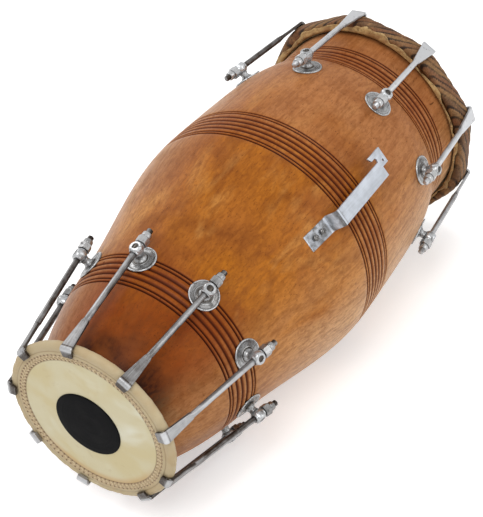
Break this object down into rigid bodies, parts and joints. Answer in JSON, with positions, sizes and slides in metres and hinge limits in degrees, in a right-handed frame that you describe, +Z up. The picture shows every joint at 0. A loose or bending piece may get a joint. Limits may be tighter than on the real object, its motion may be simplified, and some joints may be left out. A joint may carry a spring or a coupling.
{
  "type": "dholki",
  "caption": "Two-headed hand drum with a turned wooden barrel, a small pasted treble skin, a larger bass skin and hooked tension rods with tuning nuts.",
  "frame": {"origin": "on the ground under the middle of the drum as it lies on its side", "axes": "+X along the drum towards the bass head, within a degree; +Z up; the strap hook is on the -Y side"},
  "size_m": [0.4554, 0.2346, 0.2311],
  "materials": {
    "wood": "turned hardwood, amber varnish, medium gloss",
    "parchment": "dried goatskin, matte cream",
    "paste": "dried black tuning paste, matte",
    "hide": "twisted dried hide, rough",
    "plate_steel": "zinc-plated steel strip, satin",
    "lug_steel": "nickel-plated turned steel, lightly aged",
    "rod_steel": "nickel-plated steel rod, hammered hook, lightly aged",
    "nut_steel": "nickel-plated steel nut, bright"
  },
  "bodies": {
    "drum": {"shell": "wood", "treble_head": "parchment", "tuning_paste": "paste", "bass_head": "parchment", "bass_rim": "hide", "strap_hook": "plate_steel", "treble_lug_1": "lug_steel", "treble_lug_2": "lug_steel", "treble_lug_3": "lug_steel", "treble_lug_4": "lug_steel", "treble_lug_5": "lug_steel", "treble_lug_6": "lug_steel", "treble_lug_7": "lug_steel", "treble_lug_8": "lug_steel", "treble_lug_9": "lug_steel", "bass_lug_1": "lug_steel", "bass_lug_2": "lug_steel", "bass_lug_3": "lug_steel", "bass_lug_4": "lug_steel", "bass_lug_5": "lug_steel", "bass_lug_6": "lug_steel", "bass_lug_7": "lug_steel", "bass_lug_8": "lug_steel", "bass_lug_9": "lug_steel"},
    "treble_rod_1": {"treble_rod_1": "rod_steel"},
    "treble_nut_1": {"treble_nut_1": "nut_steel"},
    "treble_rod_2": {"treble_rod_2": "rod_steel"},
    "treble_nut_2": {"treble_nut_2": "nut_steel"},
    "treble_rod_3": {"treble_rod_3": "rod_steel"},
    "treble_nut_3": {"treble_nut_3": "nut_steel"},
    "treble_rod_4": {"treble_rod_4": "rod_steel"},
    "treble_nut_4": {"treble_nut_4": "nut_steel"},
    "treble_rod_5": {"treble_rod_5": "rod_steel"},
    "treble_nut_5": {"treble_nut_5": "nut_steel"},
    "treble_rod_6": {"treble_rod_6": "rod_steel"},
    "treble_nut_6": {"treble_nut_6": "nut_steel"},
    "treble_rod_7": {"treble_rod_7": "rod_steel"},
    "treble_nut_7": {"treble_nut_7": "nut_steel"},
    "treble_rod_8": {"treble_rod_8": "rod_steel"},
    "treble_nut_8": {"treble_nut_8": "nut_steel"},
    "treble_rod_9": {"treble_rod_9": "rod_steel"},
    "treble_nut_9": {"treble_nut_9": "nut_steel"},
    "bass_rod_1": {"bass_rod_1": "rod_steel"},
    "bass_nut_1": {"bass_nut_1": "nut_steel"},
    "bass_rod_2": {"bass_rod_2": "rod_steel"},
    "bass_nut_2": {"bass_nut_2": "nut_steel"},
    "bass_rod_3": {"bass_rod_3": "rod_steel"},
    "bass_nut_3": {"bass_nut_3": "nut_steel"},
    "bass_rod_4": {"bass_rod_4": "rod_steel"},
    "bass_nut_4": {"bass_nut_4": "nut_steel"},
    "bass_rod_5": {"bass_rod_5": "rod_steel"},
    "bass_nut_5": {"bass_nut_5": "nut_steel"},
    "bass_rod_6": {"bass_rod_6": "rod_steel"},
    "bass_nut_6": {"bass_nut_6": "nut_steel"},
    "bass_rod_7": {"bass_rod_7": "rod_steel"},
    "bass_nut_7": {"bass_nut_7": "nut_steel"},
    "bass_rod_8": {"bass_rod_8": "rod_steel"},
    "bass_nut_8": {"bass_nut_8": "nut_steel"},
    "bass_rod_9": {"bass_rod_9": "rod_steel"},
    "bass_nut_9": {"bass_nut_9": "nut_steel"}
  },
  "joints": [
    {"name": "treble_rod_1_slide", "type": "slide", "parent": "drum", "child": "treble_rod_1", "axis": [-0.976, 0, -0.2179], "range_m": [0, 0.008]},
    {"name": "treble_nut_1_turn", "type": "hinge", "parent": "drum", "child": "treble_nut_1", "pos_m": [-0.12842, 0, 0.20138], "axis": [0.976, 0, 0.2179], "range_deg": [0, 3600]},
    {"name": "treble_rod_2_slide", "type": "slide", "parent": "drum", "child": "treble_rod_2", "axis": [-0.977, 0.1253, -0.1723], "range_m": [0, 0.008]},
    {"name": "treble_nut_2_turn", "type": "hinge", "parent": "drum", "child": "treble_nut_2", "pos_m": [-0.1279, -0.06121, 0.17911], "axis": [0.977, -0.1253, 0.1723], "range_deg": [0, 3600]},
    {"name": "treble_rod_3_slide", "type": "slide", "parent": "drum", "child": "treble_rod_3", "axis": [-0.9797, 0.192, -0.0569], "range_m": [0, 0.008]},
    {"name": "treble_nut_3_turn", "type": "hinge", "parent": "drum", "child": "treble_nut_3", "pos_m": [-0.12658, -0.09378, 0.12271], "axis": [0.9797, -0.192, 0.0569], "range_deg": [0, 3600]},
    {"name": "treble_rod_4_slide", "type": "slide", "parent": "drum", "child": "treble_rod_4", "axis": [-0.9828, 0.1688, 0.0744], "range_m": [0, 0.008]},
    {"name": "treble_nut_4_turn", "type": "hinge", "parent": "drum", "child": "treble_nut_4", "pos_m": [-0.12507, -0.08247, 0.05858], "axis": [0.9828, -0.1688, -0.0744], "range_deg": [0, 3600]},
    {"name": "treble_rod_5_slide", "type": "slide", "parent": "drum", "child": "treble_rod_5", "axis": [-0.9845, 0.0975, 0.1458], "range_m": [0, 0.008]},
    {"name": "treble_nut_5_turn", "type": "hinge", "parent": "drum", "child": "treble_nut_5", "pos_m": [-0.12426, -0.04761, 0.02373], "axis": [0.9845, -0.0975, -0.1458], "range_deg": [0, 3600]},
    {"name": "treble_rod_6_slide", "type": "slide", "parent": "drum", "child": "treble_rod_6", "axis": [-0.9848, -0.0667, 0.1601], "range_m": [0, 0.008]},
    {"name": "treble_nut_6_turn", "type": "hinge", "parent": "drum", "child": "treble_nut_6", "pos_m": [-0.12409, 0.03257, 0.01672], "axis": [0.9848, 0.0667, -0.1601], "range_deg": [0, 3600]},
    {"name": "treble_rod_7_slide", "type": "slide", "parent": "drum", "child": "treble_rod_7", "axis": [-0.9828, -0.1688, 0.0744], "range_m": [0, 0.008]},
    {"name": "treble_nut_7_turn", "type": "hinge", "parent": "drum", "child": "treble_nut_7", "pos_m": [-0.12507, 0.08247, 0.05858], "axis": [0.9828, 0.1688, -0.0744], "range_deg": [0, 3600]},
    {"name": "treble_rod_8_slide", "type": "slide", "parent": "drum", "child": "treble_rod_8", "axis": [-0.9797, -0.192, -0.0569], "range_m": [0, 0.008]},
    {"name": "treble_nut_8_turn", "type": "hinge", "parent": "drum", "child": "treble_nut_8", "pos_m": [-0.12658, 0.09378, 0.12271], "axis": [0.9797, 0.192, 0.0569], "range_deg": [0, 3600]},
    {"name": "treble_rod_9_slide", "type": "slide", "parent": "drum", "child": "treble_rod_9", "axis": [-0.977, -0.1253, -0.1723], "range_m": [0, 0.008]},
    {"name": "treble_nut_9_turn", "type": "hinge", "parent": "drum", "child": "treble_nut_9", "pos_m": [-0.1279, 0.06121, 0.17911], "axis": [0.977, 0.1253, 0.1723], "range_deg": [0, 3600]},
    {"name": "bass_rod_1_slide", "type": "slide", "parent": "drum", "child": "bass_rod_1", "axis": [0.9976, 0, -0.0698], "range_m": [0, 0.008]},
    {"name": "bass_nut_1_turn", "type": "hinge", "parent": "drum", "child": "bass_nut_1", "pos_m": [0.13151, 0, 0.22515], "axis": [-0.9976, 0, 0.0698], "range_deg": [0, 3600]},
    {"name": "bass_rod_2_slide", "type": "slide", "parent": "drum", "child": "bass_rod_2", "axis": [0.997, 0.0599, -0.048], "range_m": [0, 0.008]},
    {"name": "bass_nut_2_turn", "type": "hinge", "parent": "drum", "child": "bass_nut_2", "pos_m": [0.13213, -0.07256, 0.19874], "axis": [-0.997, -0.0599, 0.048], "range_deg": [0, 3600]},
    {"name": "bass_rod_3_slide", "type": "slide", "parent": "drum", "child": "bass_rod_3", "axis": [0.9958, 0.0918, 0.0072], "range_m": [0, 0.008]},
    {"name": "bass_nut_3_turn", "type": "hinge", "parent": "drum", "child": "bass_nut_3", "pos_m": [0.1337, -0.11117, 0.13188], "axis": [-0.9958, -0.0918, -0.0072], "range_deg": [0, 3600]},
    {"name": "bass_rod_4_slide", "type": "slide", "parent": "drum", "child": "bass_rod_4", "axis": [0.9943, 0.0807, 0.0699], "range_m": [0, 0.008]},
    {"name": "bass_nut_4_turn", "type": "hinge", "parent": "drum", "child": "bass_nut_4", "pos_m": [0.13549, -0.09777, 0.05586], "axis": [-0.9943, -0.0807, -0.0699], "range_deg": [0, 3600]},
    {"name": "bass_rod_5_slide", "type": "slide", "parent": "drum", "child": "bass_rod_5", "axis": [0.9933, 0.0319, 0.1109], "range_m": [0, 0.008]},
    {"name": "bass_nut_5_turn", "type": "hinge", "parent": "drum", "child": "bass_nut_5", "pos_m": [0.13665, -0.03861, 0.00624], "axis": [-0.9933, -0.0319, -0.1109], "range_deg": [0, 3600]},
    {"name": "bass_rod_6_slide", "type": "slide", "parent": "drum", "child": "bass_rod_6", "axis": [0.9933, -0.0319, 0.1109], "range_m": [0, 0.008]},
    {"name": "bass_nut_6_turn", "type": "hinge", "parent": "drum", "child": "bass_nut_6", "pos_m": [0.13665, 0.03861, 0.00624], "axis": [-0.9933, 0.0319, -0.1109], "range_deg": [0, 3600]},
    {"name": "bass_rod_7_slide", "type": "slide", "parent": "drum", "child": "bass_rod_7", "axis": [0.9943, -0.0807, 0.0699], "range_m": [0, 0.008]},
    {"name": "bass_nut_7_turn", "type": "hinge", "parent": "drum", "child": "bass_nut_7", "pos_m": [0.13549, 0.09777, 0.05586], "axis": [-0.9943, 0.0807, -0.0699], "range_deg": [0, 3600]},
    {"name": "bass_rod_8_slide", "type": "slide", "parent": "drum", "child": "bass_rod_8", "axis": [0.9958, -0.0918, 0.0072], "range_m": [0, 0.008]},
    {"name": "bass_nut_8_turn", "type": "hinge", "parent": "drum", "child": "bass_nut_8", "pos_m": [0.1337, 0.11117, 0.13188], "axis": [-0.9958, 0.0918, -0.0072], "range_deg": [0, 3600]},
    {"name": "bass_rod_9_slide", "type": "slide", "parent": "drum", "child": "bass_rod_9", "axis": [0.997, -0.0599, -0.048], "range_m": [0, 0.008]},
    {"name": "bass_nut_9_turn", "type": "hinge", "parent": "drum", "child": "bass_nut_9", "pos_m": [0.13213, 0.07256, 0.19874], "axis": [-0.997, 0.0599, 0.048], "range_deg": [0, 3600]}
  ],
  "couplings": [
    {"joint": "treble_nut_1_turn", "follows": "treble_rod_1_slide", "rad_per_m": 7853.9},
    {"joint": "treble_nut_2_turn", "follows": "treble_rod_2_slide", "rad_per_m": 7853.9},
    {"joint": "treble_nut_3_turn", "follows": "treble_rod_3_slide", "rad_per_m": 7853.9},
    {"joint": "treble_nut_4_turn", "follows": "treble_rod_4_slide", "rad_per_m": 7853.9},
    {"joint": "treble_nut_5_turn", "follows": "treble_rod_5_slide", "rad_per_m": 7853.9},
    {"joint": "treble_nut_6_turn", "follows": "treble_rod_6_slide", "rad_per_m": 7853.9},
    {"joint": "treble_nut_7_turn", "follows": "treble_rod_7_slide", "rad_per_m": 7853.9},
    {"joint": "treble_nut_8_turn", "follows": "treble_rod_8_slide", "rad_per_m": 7853.9},
    {"joint": "treble_nut_9_turn", "follows": "treble_rod_9_slide", "rad_per_m": 7853.9},
    {"joint": "bass_nut_1_turn", "follows": "bass_rod_1_slide", "rad_per_m": 7853.9},
    {"joint": "bass_nut_2_turn", "follows": "bass_rod_2_slide", "rad_per_m": 7853.9},
    {"joint": "bass_nut_3_turn", "follows": "bass_rod_3_slide", "rad_per_m": 7853.9},
    {"joint": "bass_nut_4_turn", "follows": "bass_rod_4_slide", "rad_per_m": 7853.9},
    {"joint": "bass_nut_5_turn", "follows": "bass_rod_5_slide", "rad_per_m": 7853.9},
    {"joint": "bass_nut_6_turn", "follows": "bass_rod_6_slide", "rad_per_m": 7853.9},
    {"joint": "bass_nut_7_turn", "follows": "bass_rod_7_slide", "rad_per_m": 7853.9},
    {"joint": "bass_nut_8_turn", "follows": "bass_rod_8_slide", "rad_per_m": 7853.9},
    {"joint": "bass_nut_9_turn", "follows": "bass_rod_9_slide", "rad_per_m": 7853.9}
  ]
}
